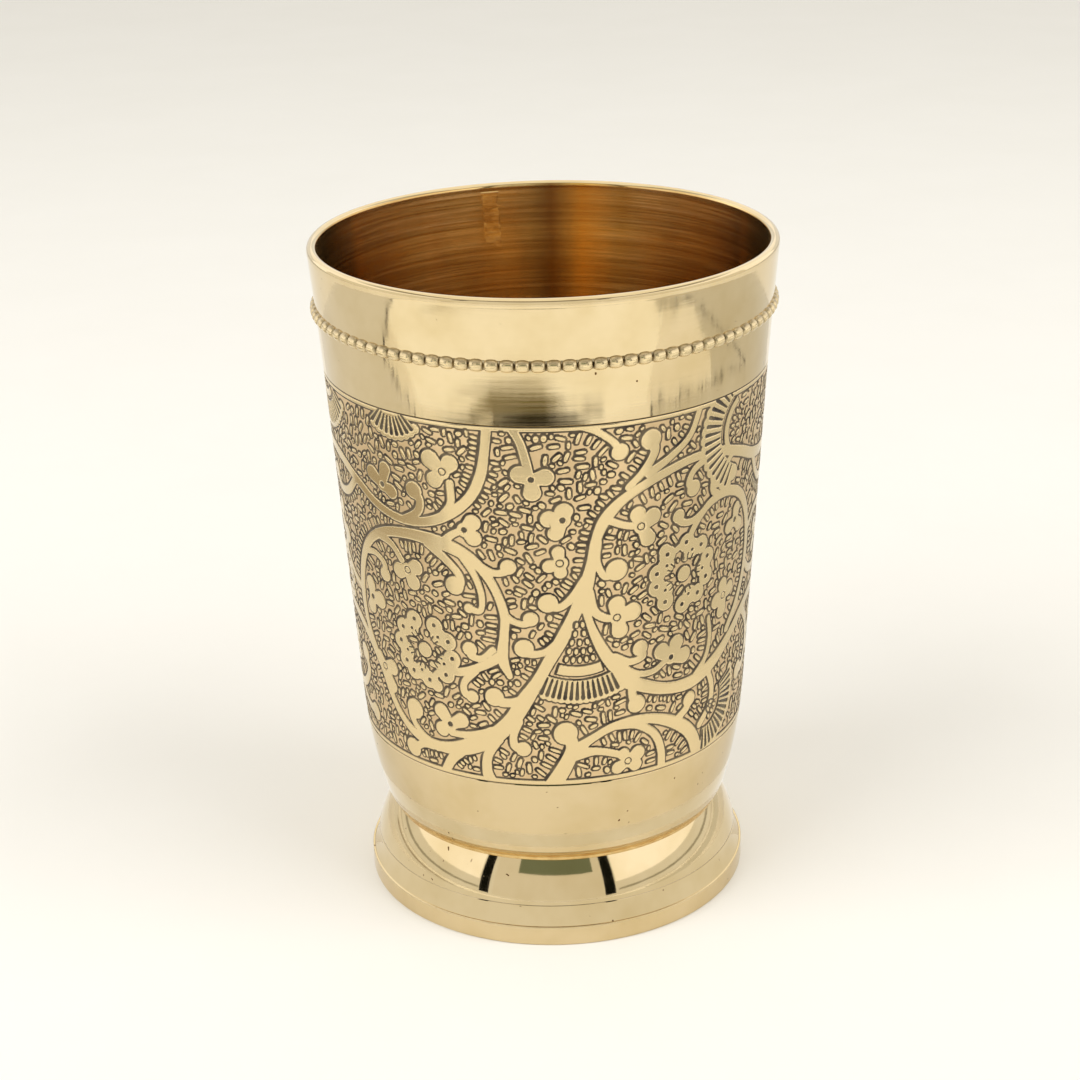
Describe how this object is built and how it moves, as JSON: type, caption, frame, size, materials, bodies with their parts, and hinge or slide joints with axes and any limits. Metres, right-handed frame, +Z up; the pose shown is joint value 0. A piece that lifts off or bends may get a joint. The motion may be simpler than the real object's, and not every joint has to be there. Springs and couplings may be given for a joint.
{
  "type": "footed brass water tumbler",
  "caption": "Tapered engraved brass water tumbler with a rounded lip, a beaded ring below the mouth and a hollow bell-shaped foot.",
  "frame": {"origin": "centre of the circle on which the foot stands", "axes": "+Z up along the cup's axis; the lap seam lies towards +Y, a little to -X; -Y is the front"},
  "size_m": [0.0878, 0.0878, 0.13],
  "materials": {
    "brass_polished": "polished with fine turning lines",
    "brass_cast": "cast, turned and polished",
    "brass_sheet": "satin, scoured",
    "brazing_metal": "filed",
    "soft_solder": "dull"
  },
  "bodies": {
    "root": {"cup_wall": "brass_polished", "seam_braze": "brazing_metal", "cup_bottom": "brass_sheet", "bottom_braze": "brazing_metal", "bead_ring": "brass_polished", "bead_solder": "soft_solder", "foot": "brass_cast", "foot_braze": "brazing_metal"}
  },
  "joints": []
}
